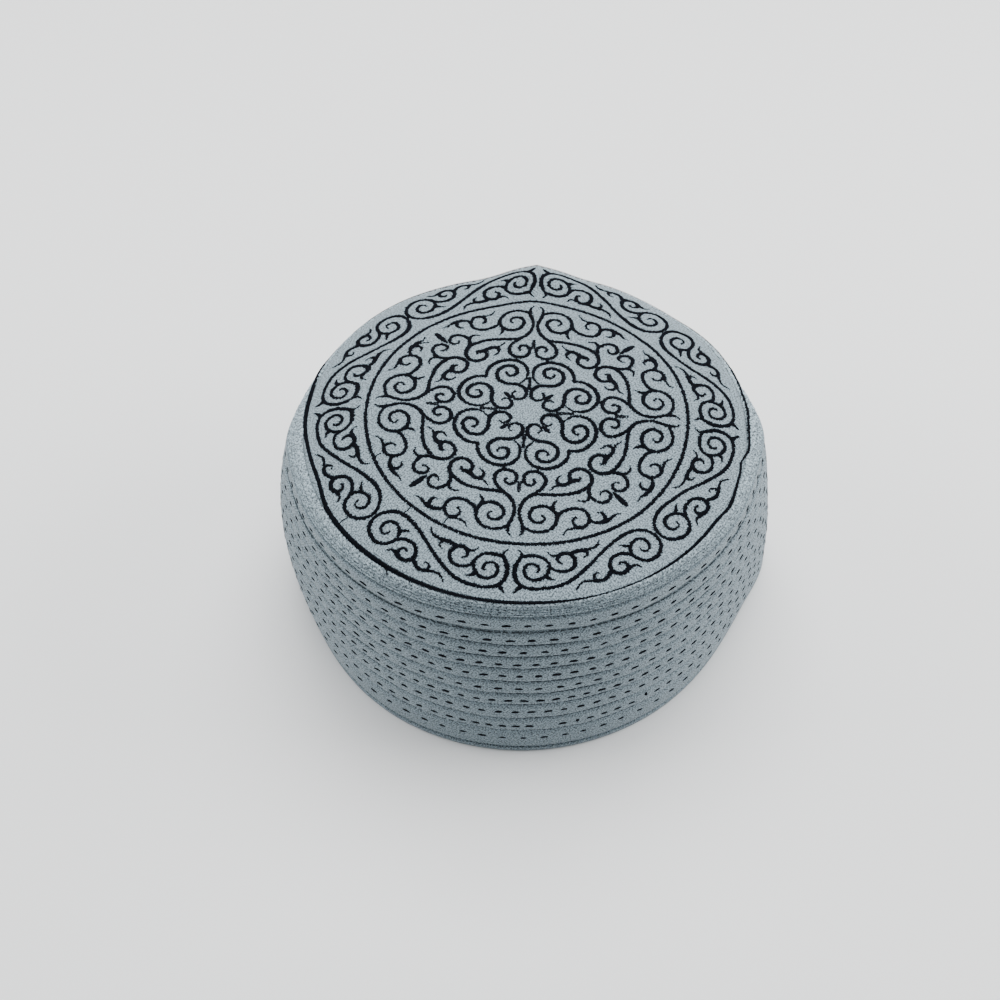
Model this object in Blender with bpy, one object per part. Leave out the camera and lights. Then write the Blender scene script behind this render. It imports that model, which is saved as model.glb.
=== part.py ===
"""Soft round prayer cap: a domed crown, a sewn edge band, a tucked side wall and a thin hem.

The cap stands on its hem with the crown up. The origin is the centre of the bottom rim,
+Z is up and the front of the cap faces -Y. All lengths are in metres.
"""
import math

import bmesh
import bpy

# Driving sizes of the outside: the crown panel, and how far the wall stands out beyond it
PANEL_RADIUS = 0.0810
SHOULDER_FLARE = 0.0020
WAIST_FLARE = 0.0060
FOOT_FLARE = 0.0075

# Height of the crown's edge, the drop from it to the shoulder and the rise to its middle
EDGE_HEIGHT = 0.0880
SHOULDER_DROP = 0.0100
CROWN_RISE = 0.0045

# Cloth thicknesses, with the layers and their padding
CROWN_THICKNESS = 0.0018
BAND_THICKNESS = 0.0018
WALL_THICKNESS = 0.0022
HEM_THICKNESS = 0.0026
HEM_HEIGHT = 0.0023
TUCK_DEPTH = 0.0008

# Space left along each seam between two pieces
SEAM_GAP = 0.0003

# How finely the cloth is divided
SEGMENTS = 64
CROWN_RING_SHARES = (0.24, 0.47, 0.66, 0.80, 0.91)
BAND_STEPS = 4
INNER_WALL_STEPS = 5

# The crown stays nearly flat and drops close to its edge
CROWN_POWER = 4
# The bend over the shoulder: how far its corner lies inward and upward
BEND_INWARD_SHARE = 0.15
BEND_UPWARD_SHARE = 0.75
# Two crests on each tuck, as shares of the way from its lower groove to its upper one
LOWER_CREST_SHARE = 0.25
UPPER_CREST_SHARE = 0.78

# The worn cloth's outline. Angles run from +X towards +Y, so the front is at -90 degrees.
# Columns: angle, then shares of the foot radius, waist radius, shoulder radius,
# crown edge height and shoulder drop.
OUTLINE_SHARES = (
    (-90, 1.000, 0.990, 0.988, 1.005, 1.04),
    (-60, 0.995, 0.993, 0.997, 1.000, 1.02),
    (-30, 1.002, 1.026, 1.026, 1.004, 0.94),
    (-15, 1.042, 1.062, 1.035, 1.006, 0.86),
    (0, 1.135, 1.104, 1.065, 1.000, 0.70),
    (15, 1.136, 1.088, 1.028, 0.995, 0.88),
    (30, 1.110, 1.067, 1.022, 0.987, 0.98),
    (45, 1.079, 1.045, 1.012, 0.963, 0.96),
    (66, 1.042, 1.025, 1.007, 0.973, 1.00),
    (87, 1.022, 1.013, 1.006, 0.995, 1.08),
    (105, 1.025, 1.013, 1.008, 0.954, 0.93),
    (130, 1.045, 1.020, 1.000, 0.971, 1.03),
    (155, 1.062, 1.047, 1.000, 0.974, 0.99),
    (180, 1.040, 1.090, 1.062, 0.975, 0.73),
    (195, 1.012, 1.068, 1.046, 0.986, 0.80),
    (210, 0.999, 1.033, 1.045, 0.991, 0.84),
    (235, 1.005, 1.008, 1.028, 1.000, 0.93),
)

# Grooves between the sewn tucks, bottom to top, as shares of the shoulder height
GROOVE_SHARES = (0.190, 0.298, 0.409, 0.496, 0.590, 0.691, 0.770, 0.856, 0.947)
# The wall's top seam lies over the shoulder: one is the shoulder, two is the crown's edge
WALL_TOP_SHARE = 1.254


def cyclic_blend(rows, angle, column):
    """Smooth value of a table column at an angle in degrees, around the full circle."""
    count = len(rows)
    angle = rows[0][0] + (angle - rows[0][0]) % 360
    index = max(i for i in range(count) if rows[i][0] <= angle + 1e-9)

    def knot(i):
        turns, i = divmod(i, count)
        return rows[i][0] + 360 * turns, rows[i][column]

    (a0, v0), (a1, v1), (a2, v2), (a3, v3) = (knot(index + k) for k in (-1, 0, 1, 2))
    span = a2 - a1
    t = (angle - a1) / span
    slope1 = (v2 - v0) / (a2 - a0) * span
    slope2 = (v3 - v1) / (a3 - a1) * span
    start = (2 * t - 3) * t * t + 1
    end = 1 - start
    return start * v1 + end * v2 + t * (t - 1) ** 2 * slope1 + t * t * (t - 1) * slope2


def outline(angle):
    """Foot, waist and shoulder radius, shoulder height and edge height at an angle."""
    flares = (FOOT_FLARE, WAIST_FLARE, SHOULDER_FLARE)
    sizes = [PANEL_RADIUS + flare for flare in flares] + [EDGE_HEIGHT, SHOULDER_DROP]
    lengths = [size * cyclic_blend(OUTLINE_SHARES, angle, i + 1) for i, size in enumerate(sizes)]
    foot, waist, shoulder, edge_height, drop = lengths
    return foot, waist, shoulder, edge_height - drop, edge_height


def skin_point(angle, share):
    """Radius and height of the outer cloth: share 0 foot, 1 shoulder, 2 crown edge."""
    foot, waist, shoulder, shoulder_height, edge_height = outline(angle)
    if share <= 1:
        low = (1 - share) * (1 - 2 * share)
        middle = 4 * share * (1 - share)
        high = share * (2 * share - 1)
        return low * foot + middle * waist + high * shoulder, share * shoulder_height
    t = share - 1
    bend_radius = shoulder - BEND_INWARD_SHARE * (shoulder - PANEL_RADIUS)
    bend_height = shoulder_height + BEND_UPWARD_SHARE * (edge_height - shoulder_height)
    radius = (1 - t) ** 2 * shoulder + 2 * t * (1 - t) * bend_radius + t * t * PANEL_RADIUS
    height = (1 - t) ** 2 * shoulder_height + 2 * t * (1 - t) * bend_height + t * t * edge_height
    return radius, height


def skin_direction(angle, share):
    """Unit direction along the outer cloth, upwards, in the radius and height plane."""
    step = 0.001
    low = skin_point(angle, share - step if share > step else share)
    high = skin_point(angle, share + step if share < 2 - step else share)
    length = math.hypot(high[0] - low[0], high[1] - low[1])
    return (high[0] - low[0]) / length, (high[1] - low[1]) / length


def inside_skin(angle, share, depth, along=0.0):
    """A point under the outer cloth, moved along it as well where a seam needs its gap."""
    radius, height = skin_point(angle, share)
    out, up = skin_direction(angle, share)
    return radius - depth * up + along * out, height + depth * out + along * up


def wall_levels():
    """Shares and depths of the outer wall: the hem, each tuck's crests and its groove."""
    hem_share = (HEM_HEIGHT + SEAM_GAP) / (EDGE_HEIGHT - SHOULDER_DROP)
    grooves = (hem_share, *GROOVE_SHARES, WALL_TOP_SHARE)
    levels = []
    for low, high in zip(grooves[:-1], grooves[1:]):
        levels.append((low, TUCK_DEPTH))
        levels.append((low + LOWER_CREST_SHARE * (high - low), 0.0))
        levels.append((low + UPPER_CREST_SHARE * (high - low), 0.0))
    levels.append((WALL_TOP_SHARE, TUCK_DEPTH))
    return levels


def wall_section(angle):
    """Closed section of the side wall: up its tucks and down its smooth inner face."""
    foot = skin_point(angle, 0)[0]
    bottom = HEM_HEIGHT + SEAM_GAP
    levels = wall_levels()
    section = [(foot - TUCK_DEPTH, bottom)]
    section += [inside_skin(angle, share, depth) for share, depth in levels[1:]]
    low_share = levels[0][0]
    for i in range(INNER_WALL_STEPS, 0, -1):
        share = low_share + (WALL_TOP_SHARE - low_share) * i / INNER_WALL_STEPS
        section.append(inside_skin(angle, share, WALL_THICKNESS))
    section.append((foot - WALL_THICKNESS, bottom))
    return section


def band_section(angle):
    """Closed section of the edge band, from the wall's seam to the crown's edge."""
    shares = [WALL_TOP_SHARE + (2 - WALL_TOP_SHARE) * i / BAND_STEPS for i in range(BAND_STEPS + 1)]
    section = []
    for depth, order in ((0.0, shares), (BAND_THICKNESS, reversed(shares))):
        for share in order:
            along = {shares[0]: SEAM_GAP, shares[-1]: -SEAM_GAP}.get(share, 0.0)
            section.append(inside_skin(angle, share, depth, along))
    return section


def hem_section(angle):
    """Closed section of the hem: a folded strip with a flat underside."""
    foot = skin_point(angle, 0)[0]
    inner = foot - HEM_THICKNESS
    return [(foot, 0.0), (foot, HEM_HEIGHT), (inner, HEM_HEIGHT), (inner, 0.0)]


def crown_point(angle, share, depth):
    """Radius and height on the crown at a share of its radius, or under it by a depth."""
    if share == 1:
        return inside_skin(angle, 2, depth)
    edge_height = outline(angle)[-1]
    rise = EDGE_HEIGHT + CROWN_RISE - edge_height
    return share * PANEL_RADIUS, edge_height + rise * (1 - share ** CROWN_POWER) - depth


def place(angle, point):
    """Three coordinates of a radius and height at an angle in degrees."""
    radius, height = point
    turn = math.radians(angle)
    return radius * math.cos(turn), radius * math.sin(turn), height


def segment_angles():
    """Angle of each division around the cap, from the front."""
    return [-90 + 360 * i / SEGMENTS for i in range(SEGMENTS)]


def bridge(mesh, first, second):
    """Faces between two closed loops of vertices, the second above or inside the first."""
    count = len(first)
    for i in range(count):
        j = (i + 1) % count
        mesh.faces.new((first[i], first[j], second[j], second[i]))


def loft_ring(section):
    """Closed ring swept around the cap through a section that changes with the angle."""
    mesh = bmesh.new()
    sections = [section(angle) for angle in segment_angles()]
    loops = []
    for level in range(len(sections[0])):
        points = zip(segment_angles(), (points[level] for points in sections))
        loops.append([mesh.verts.new(place(angle, point)) for angle, point in points])
    for low, high in zip(loops, loops[1:] + loops[:1]):
        bridge(mesh, low, high)
    return mesh


def loft_crown():
    """Domed panel, closed by an upper face, a lower face and the strip between them."""
    mesh = bmesh.new()
    sides = []
    for depth in (CROWN_THICKNESS, 0.0):
        loops = []
        for share in (1, *reversed(CROWN_RING_SHARES)):
            points = [place(angle, crown_point(angle, share, depth)) for angle in segment_angles()]
            loops.append([mesh.verts.new(point) for point in points])
        centre = mesh.verts.new((0, 0, EDGE_HEIGHT + CROWN_RISE - depth))
        sides.append(loops)
        for outer, inner in zip(loops[:-1], loops[1:]):
            bridge(mesh, outer, inner)
        inner = loops[-1]
        for i in range(SEGMENTS):
            mesh.faces.new((inner[i], inner[(i + 1) % SEGMENTS], centre))
    lower, upper = sides
    bridge(mesh, lower[0], upper[0])
    return mesh


def cloth_material(name, colour, roughness):
    """Matte woven cloth."""
    material = bpy.data.materials.new(name)
    material.use_nodes = True
    shader = material.node_tree.nodes["Principled BSDF"]
    shader.inputs["Base Color"].default_value = (*colour, 1)
    shader.inputs["Roughness"].default_value = roughness
    shader.inputs["Metallic"].default_value = 0
    return material


def add_piece(collection, name, mesh, material):
    """Object with its faces pointing out, from a finished bmesh."""
    bmesh.ops.recalc_face_normals(mesh, faces=mesh.faces)
    data = bpy.data.meshes.new(name)
    mesh.to_mesh(data)
    mesh.free()
    data.shade_smooth()
    data.set_sharp_from_angle(angle=math.radians(40))
    data.materials.append(material)
    collection.objects.link(bpy.data.objects.new(name, data))


def centre_pieces(collection):
    """Put the middle of the cap's footprint at the origin."""
    corners = [vertex.co for item in collection.objects for vertex in item.data.vertices]
    middle = [(min(c[axis] for c in corners) + max(c[axis] for c in corners)) / 2 for axis in (0, 1)]
    for item in collection.objects:
        item.location = (-middle[0], -middle[1], 0)


def clear_objects():
    """Remove what the file already holds."""
    for item in list(bpy.data.objects):
        bpy.data.objects.remove(item, do_unlink=True)


def main():
    clear_objects()
    collection = bpy.data.collections.new("prayer_cap")
    bpy.context.scene.collection.children.link(collection)
    crown_cloth = cloth_material("crown_cloth", (0.36, 0.42, 0.45), 0.90)
    band_cloth = cloth_material("band_cloth", (0.31, 0.37, 0.40), 0.92)
    wall_cloth = cloth_material("wall_cloth", (0.33, 0.39, 0.42), 0.90)
    hem_cloth = cloth_material("hem_cloth", (0.30, 0.36, 0.39), 0.92)
    add_piece(collection, "crown_panel", loft_crown(), crown_cloth)
    add_piece(collection, "crown_edge_band", loft_ring(band_section), band_cloth)
    add_piece(collection, "side_wall", loft_ring(wall_section), wall_cloth)
    add_piece(collection, "bottom_hem", loft_ring(hem_section), hem_cloth)
    centre_pieces(collection)


main()
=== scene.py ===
import math

import bpy
import numpy as np
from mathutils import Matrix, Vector


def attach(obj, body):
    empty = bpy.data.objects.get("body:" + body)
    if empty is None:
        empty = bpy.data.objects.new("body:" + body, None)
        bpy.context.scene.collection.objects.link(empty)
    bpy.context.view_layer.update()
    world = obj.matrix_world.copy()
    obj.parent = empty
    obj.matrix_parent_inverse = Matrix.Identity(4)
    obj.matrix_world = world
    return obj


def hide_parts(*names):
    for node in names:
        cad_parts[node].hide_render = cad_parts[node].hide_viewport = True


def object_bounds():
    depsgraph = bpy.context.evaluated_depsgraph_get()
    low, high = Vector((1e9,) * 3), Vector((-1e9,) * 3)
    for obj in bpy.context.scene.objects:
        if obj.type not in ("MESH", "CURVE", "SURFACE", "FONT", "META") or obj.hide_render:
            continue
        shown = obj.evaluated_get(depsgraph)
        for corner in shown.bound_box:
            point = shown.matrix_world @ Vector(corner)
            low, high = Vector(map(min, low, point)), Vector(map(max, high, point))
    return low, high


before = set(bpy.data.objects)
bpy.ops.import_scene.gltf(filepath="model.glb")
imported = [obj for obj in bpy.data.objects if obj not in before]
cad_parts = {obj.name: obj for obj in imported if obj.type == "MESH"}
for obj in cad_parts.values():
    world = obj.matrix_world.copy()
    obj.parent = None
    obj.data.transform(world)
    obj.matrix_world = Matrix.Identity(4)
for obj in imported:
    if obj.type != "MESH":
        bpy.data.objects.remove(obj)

cad_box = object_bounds()

# Sizes of the solids that these looks are fitted to, in metres
PANEL_RADIUS = 0.0810
SHOULDER_FLARE = 0.0020
WAIST_FLARE = 0.0060
FOOT_FLARE = 0.0075
EDGE_HEIGHT = 0.0880
SHOULDER_DROP = 0.0100
CROWN_RISE = 0.0045
CROWN_THICKNESS = 0.0018
CROWN_UNEVEN = 0.0002
CROWN_PUCKER = 0.00010
BAND_THICKNESS = 0.0018
WALL_THICKNESS = 0.0022
HEM_THICKNESS = 0.0026
HEM_HEIGHT = 0.0023
SEAM_GAP = 0.0003
CROWN_POWER = 4
BEND_INWARD_SHARE = 0.15
BEND_UPWARD_SHARE = 0.75

# The worn outline. Columns: angle, then shares of the foot radius, waist radius,
# shoulder radius, crown edge height and shoulder drop. The front is at -90 degrees.
OUTLINE_SHARES = (
    (-90, 1.000, 0.990, 0.988, 1.005, 1.04),
    (-60, 0.995, 0.993, 0.997, 1.000, 1.02),
    (-30, 1.002, 1.026, 1.026, 1.004, 0.94),
    (-15, 1.042, 1.062, 1.035, 1.006, 0.86),
    (0, 1.135, 1.104, 1.065, 1.000, 0.70),
    (15, 1.136, 1.088, 1.028, 0.995, 0.88),
    (30, 1.110, 1.067, 1.022, 0.987, 0.98),
    (45, 1.079, 1.045, 1.012, 0.959, 0.96),
    (66, 1.042, 1.025, 1.007, 0.966, 1.00),
    (87, 1.022, 1.013, 1.006, 0.995, 1.08),
    (105, 1.025, 1.013, 1.008, 0.946, 0.93),
    (130, 1.045, 1.020, 1.000, 0.963, 1.03),
    (155, 1.062, 1.047, 1.000, 0.974, 0.99),
    (180, 1.040, 1.090, 1.062, 0.975, 0.73),
    (195, 1.012, 1.068, 1.046, 0.986, 0.80),
    (210, 0.999, 1.033, 1.045, 0.991, 0.84),
    (235, 1.005, 1.008, 1.028, 1.000, 0.93),
)
GROOVE_SHARES = (0.186, 0.293, 0.404, 0.491, 0.585, 0.686, 0.766, 0.852, 0.940)
WALL_TOP_SHARE = 1.254

# The running stitches, one row on each tuck, bottom to top. Columns: share up the wall,
# spacing and shift along the row at the front in metres, then the angles it runs between.
STITCH_ROWS = (
    (0.118, 0.00767, -0.0005, -270, 90),
    (0.225, 0.00602, 0.0019, -270, -107),
    (0.225, 0.00501, 0.0017, -107, -88),
    (0.225, 0.00567, 0.0025, -82.5, -79.5),
    (0.225, 0.00567, 0.0016, -76, -61),
    (0.225, 0.00567, 0.0016, -57, 90),
    (0.344, 0.00606, 0.0024, -270, 90),
    (0.437, 0.00574, -0.0005, -270, 90),
    (0.530, 0.00717, -0.0024, -270, 90),
    (0.628, 0.00642, -0.0020, -270, 90),
    (0.713, 0.00656, -0.0032, -270, 90),
    (0.801, 0.00721, -0.0010, -270, 90),
    (0.884, 0.00753, 0.0016, -270, 90),
    (0.985, 0.00750, 0.0003, -270, 90),
)
STITCH_LENGTH = 0.0037
STITCH_WIDTH = 0.00125
STITCH_RISE = 0.00026
# Two small knots on the second row: their angles and the share they sit at
KNOTS = ((-77.2, 0.232), (-59.0, 0.250))
KNOT_SIZE = 0.0013
# How full the running stitches are around the cap. Columns: angle, share of their size
STITCH_FULLNESS = (
    (-165, 0.72), (-145, 0.90), (-120, 1.00), (-60, 1.00), (-35, 0.92), (-15, 0.75),
    (10, 0.65), (40, 0.80), (90, 1.00), (140, 0.80), (175, 0.65),
)

# The finer sewing, seams in a thread darker than the cloth for painted shade in the grooves and zigzags
# in a lighter one for painted light: length, spacing and width of its stitches
SEAM_STITCH = (0.0021, 0.0025, 0.00055)
ZIGZAG_STEP = 0.00120
ZIGZAG_WIDTH = 0.00064
ZIGZAG_RISE = 0.00040
# The zigzag rows on the band, as shares from its seam to the crown's edge
ZIGZAG_ROWS = ((0.06, 0.16), (0.21, 0.32), (0.38, 0.49), (0.55, 0.72), (0.75, 0.93))
# The lines between them: share and depth
BAND_LINES = ((0.185, 0.0004), (0.35, 0.0004), (0.52, 0.0004))

# How the worn crown waves. Columns: angle, lift midway to its edge, how far its edge rolls
# down into the seam, and lift just inside the edge, in metres
CROWN_WAVES = (
    (-90, -0.0002, 0.0005, 0.0000), (-68, -0.0009, 0.0006, 0.0000), (-45, -0.0018, 0.0005, 0.0000),
    (-20, -0.0004, 0.0003, 0.0000), (0, 0.0013, 0.0003, 0.0000), (30, 0.0005, 0.0002, 0.0004),
    (60, -0.0004, 0.0002, 0.0012), (90, -0.0002, 0.0002, 0.0025), (108, -0.0004, 0.0002, 0.0021),
    (135, 0.0001, 0.0002, 0.0004), (172, 0.0017, 0.0003, 0.0000), (190, 0.0014, 0.0003, 0.0000),
    (225, 0.0005, 0.0002, 0.0000), (250, 0.0000, 0.0002, 0.0000),
)
EDGE_ROLL_WIDTH = 0.0028
# The pointed fold in the crown's edge at the back
FOLD_ANGLE = 86
FOLD_RISE = 0.0020

# The outer ring's path. Columns: angle, radius and sewn width in metres. At the back it
# runs over the edge and out of sight from the front.
OUTER_RING_PATH = (
    (-192, 0.0812, 0.0014), (-180, 0.0804, 0.0015), (-169, 0.0790, 0.0015), (-159, 0.0784, 0.0016),
    (-149, 0.0801, 0.0018), (-128, 0.0805, 0.0020), (-103, 0.0804, 0.0020), (-88, 0.0802, 0.0016),
    (-76, 0.0802, 0.0009), (-64, 0.0802, 0.0009), (-50, 0.0803, 0.0013), (-41, 0.0801, 0.0012),
    (-35, 0.0800, 0.0012), (-30, 0.0811, 0.0012), (-26, 0.0808, 0.0012), (-22, 0.0801, 0.0011),
    (-18, 0.0798, 0.0010), (-15, 0.0794, 0.0009), (-13, 0.0801, 0.0009), (-10.5, 0.0812, 0.0008),
    (-8, 0.0812, 0.0007), (-2, 0.0812, 0.0007), (3, 0.0816, 0.0007), (10, 0.0818, 0.0007),
    (22, 0.0833, 0.0007), (45, 0.0828, 0.0007), (65, 0.0821, 0.0007), (90, 0.0819, 0.0007),
    (115, 0.0821, 0.0007), (135, 0.0827, 0.0007), (154, 0.0833, 0.0008),
)
# How much higher the ring's thread lies where it crosses onto the band's own stitches
RING_ABOVE_BAND = 0.0004

# Radii of the two sewn rings, and the chart's own radii for them
INNER_RING_RADIUS = 0.0583
INNER_RING_WIDTH = 0.0015
OUTER_RING_RADIUS = 0.0803
CHART_INNER = 61.2
CHART_OUTER_AXIS = 89.0
CHART_OUTER_DIAGONAL = 85.4
# The pattern sits turned on the crown, clockwise seen from above, and a little off its middle
PATTERN_TURN = -5.0
PATTERN_SHIFT = (0.0006, -0.0001)
# How much wider the thread spreads than the charted lines
SPREAD = 1.27
BORDER_SPREAD = 1.37

# How far the border's sewing sits from its regular place. Columns: angle, outwards and
# around, in metres
BORDER_WANDER = (
    (-135, 0.0007, 0.0007), (-120, 0.0010, 0.0002), (-105, 0.0006, -0.0002), (-90, 0.0000, 0.0000),
    (-75, 0.0001, 0.0003), (-60, -0.0002, 0.0004), (-45, -0.0003, -0.0003), (-30, -0.0003, 0.0002),
    (-15, 0.0000, -0.0006), (0, 0.0003, -0.0003), (15, 0.0001, -0.0011), (30, 0.0000, -0.0012),
    (45, 0.0006, -0.0003), (60, 0.0004, 0.0000), (75, 0.0006, 0.0006), (90, 0.0005, 0.0008),
    (105, 0.0004, 0.0007), (120, 0.0002, 0.0009), (135, 0.0004, 0.0017), (150, 0.0009, 0.0017),
    (165, 0.0011, 0.0018), (180, 0.0010, 0.0012), (202, 0.0007, 0.0008),
)

# One eighth of the crown's scrollwork, charted in millimetres from the crown's
# middle. X runs along the next axis and Y up the axis that the eighth starts from.
# Each stroke has its widths along the way, then the points that it passes through.
SCROLLS = (
    ("lobe", (1.2, 1.5, 1.5, 1.2, 0.7), (
        (17.0, 16.8), (17.0, 19.3), (16.2, 21.9), (14.4, 24.2), (11.8, 26.0), (9.0, 26.8),
        (6.4, 26.6), (3.9, 25.5), (2.0, 23.5), (1.1, 21.2), (1.0, 18.9), (1.5, 17.0),
        (2.6, 15.6), (3.7, 14.4))),
    ("lobe_curl", (0.9, 1.4, 1.5, 1.5, 1.5, 1.5, 1.3, 0.8), (
        (9.5, 20.3), (9.3, 19.2), (8.5, 18.4), (7.2, 18.1), (5.9, 18.7), (5.3, 20.1),
        (5.4, 21.8), (6.3, 23.0), (7.7, 23.6), (9.3, 23.5), (10.9, 22.8), (12.3, 21.3),
        (13.0, 19.3), (12.9, 17.3), (11.9, 15.6), (10.2, 14.4), (8.2, 13.9), (6.1, 14.0),
        (4.0, 13.6), (2.3, 12.5), (1.1, 10.9), (0.9, 9.1), (1.3, 7.4), (2.5, 6.2),
        (4.0, 5.9), (5.3, 6.5), (6.1, 7.7), (6.1, 9.0), (5.1, 10.1))),
    ("middle_bud", (0.5, 1.3, 1.5, 0.6), ((6.3, 6.3), (7.5, 7.5), (8.5, 8.5), (9.4, 9.3))),
    ("axis_line", (0.9, 0.7, 1.0), ((0.3, 17.8), (0.25, 15.0), (0.4, 11.2))),
    ("lobe_tie", (1.1, 0.9, 1.1), ((6.2, 26.6), (6.2, 27.7), (6.3, 28.6))),
    ("heart_curl", (1.0, 1.3, 1.3, 1.4, 1.4, 1.3, 1.1), (
        (4.7, 32.3), (5.5, 33.0), (5.2, 34.3), (4.2, 35.1), (2.9, 35.0), (1.7, 34.0),
        (1.3, 32.2), (1.7, 30.3), (3.1, 28.9), (5.1, 28.4), (7.1, 28.9), (8.8, 30.4),
        (9.4, 32.4), (9.0, 34.5), (7.9, 36.4), (6.4, 38.0), (5.0, 39.4))),
    ("heart_bud", (0.8, 0.8, 0.7, 0.5), ((0.5, 33.6), (0.35, 35.0), (0.35, 37.0), (0.3, 38.5))),
    ("heart_foot", (0.8, 1.0), ((0.5, 33.9), (1.6, 33.6))),
    ("heart_stem", (1.2, 1.5, 1.3, 1.2, 1.3, 1.2, 0.5), (
        (5.4, 39.0), (3.6, 40.6), (2.2, 42.3), (1.2, 44.7), (0.9, 47.4), (1.3, 50.0),
        (2.2, 52.4), (2.6, 54.5), (2.5, 56.6), (1.4, 58.2))),
    ("heart_loop", (1.2, 1.2, 1.3, 1.3, 1.4, 1.4, 1.3, 1.2, 0.8), (
        (2.2, 53.4), (3.7, 54.4), (5.4, 55.2), (7.4, 55.6), (9.5, 55.4), (11.6, 54.5),
        (13.3, 52.9), (14.3, 50.9), (14.6, 48.9), (14.2, 46.9), (13.0, 45.3), (11.2, 44.2),
        (9.2, 43.9), (7.2, 44.4), (5.6, 45.7), (4.7, 47.5), (4.8, 49.4), (5.9, 50.9),
        (7.6, 51.6), (9.3, 51.1), (10.3, 49.9), (10.0, 48.7), (8.9, 48.2))),
    ("heart_spur", (1.7, 1.3, 1.0, 0.4), ((12.9, 45.3), (12.8, 43.6), (13.2, 42.2), (14.1, 40.8))),
    ("side_curl", (1.5, 1.3, 1.3, 1.3, 1.3, 1.2, 0.8), (
        (14.5, 49.0), (15.1, 47.0), (16.6, 45.4), (18.8, 44.1), (21.4, 43.4), (23.9, 43.8),
        (25.5, 45.3), (26.1, 47.4), (25.8, 49.5), (24.6, 51.1), (22.8, 51.6), (21.1, 51.0),
        (20.3, 49.6), (20.5, 48.2), (21.5, 47.4))),
    ("side_leaf", (1.3, 1.0, 0.8, 0.4), (
        (24.0, 51.6), (21.9, 52.0), (19.9, 52.6), (18.5, 53.3), (17.7, 54.4), (17.2, 55.6))),
    ("side_branch", (1.5, 1.3, 1.8, 1.5, 0.9, 0.4), (
        (26.0, 47.4), (27.4, 48.4), (29.2, 48.6), (31.0, 48.1), (32.7, 47.1), (34.1, 45.8),
        (35.1, 44.6), (36.1, 43.8), (37.3, 43.4))),
    ("side_hook", (1.5, 1.4, 1.1, 0.6), (
        (31.7, 47.7), (31.8, 46.1), (31.3, 44.7), (30.2, 43.9), (28.8, 44.3))),
    ("long_stem", (1.2, 1.4, 1.3, 1.4, 1.5, 1.5, 1.4, 1.4), (
        (3.6, 40.4), (6.2, 39.0), (9.0, 38.6), (12.0, 38.5), (15.0, 38.1), (18.0, 37.5),
        (20.6, 36.5), (23.0, 35.0), (25.0, 33.2), (26.1, 30.9), (26.2, 28.8), (25.4, 26.8),
        (23.8, 25.4), (21.8, 25.0), (19.9, 25.6), (18.4, 27.0), (17.8, 28.8), (18.5, 30.6))),
    ("long_hook", (1.8, 1.9, 1.6, 0.8), (
        (18.0, 31.6), (19.4, 30.9), (21.0, 30.6), (21.9, 30.1), (21.7, 28.8))),
    ("claw", (1.8, 1.6, 1.5, 1.4, 0.9, 0.5), (
        (19.0, 31.1), (18.0, 32.3), (16.6, 33.2), (15.0, 33.5), (13.8, 32.7), (13.4, 31.3),
        (13.8, 30.2), (15.2, 28.8))),
    ("claw_leaf", (1.4, 1.0, 0.8, 0.4), (
        (16.2, 33.5), (14.2, 33.9), (12.9, 34.5), (12.1, 35.5), (11.4, 36.6))),
    ("corner_curl", (1.3, 1.4, 1.3, 1.3, 1.3, 1.2, 0.6), (
        (26.1, 31.0), (25.5, 33.4), (25.4, 35.6), (26.0, 37.4), (27.6, 38.7), (29.4, 39.5),
        (31.3, 39.4), (32.8, 38.2), (33.4, 36.4), (33.0, 34.7), (31.7, 33.8), (30.4, 34.3),
        (29.7, 35.3), (29.7, 36.4))),
    ("corner_hook", (1.4, 1.1, 0.9, 0.5), (
        (25.8, 37.2), (25.4, 38.7), (24.4, 39.8), (23.0, 40.1), (21.6, 39.9))),
    ("corner_bud", (0.5, 1.3, 1.9, 1.9, 1.0), (
        (34.2, 34.2), (35.6, 35.6), (37.0, 37.0), (38.4, 38.4), (39.7, 39.6))),
)

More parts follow.
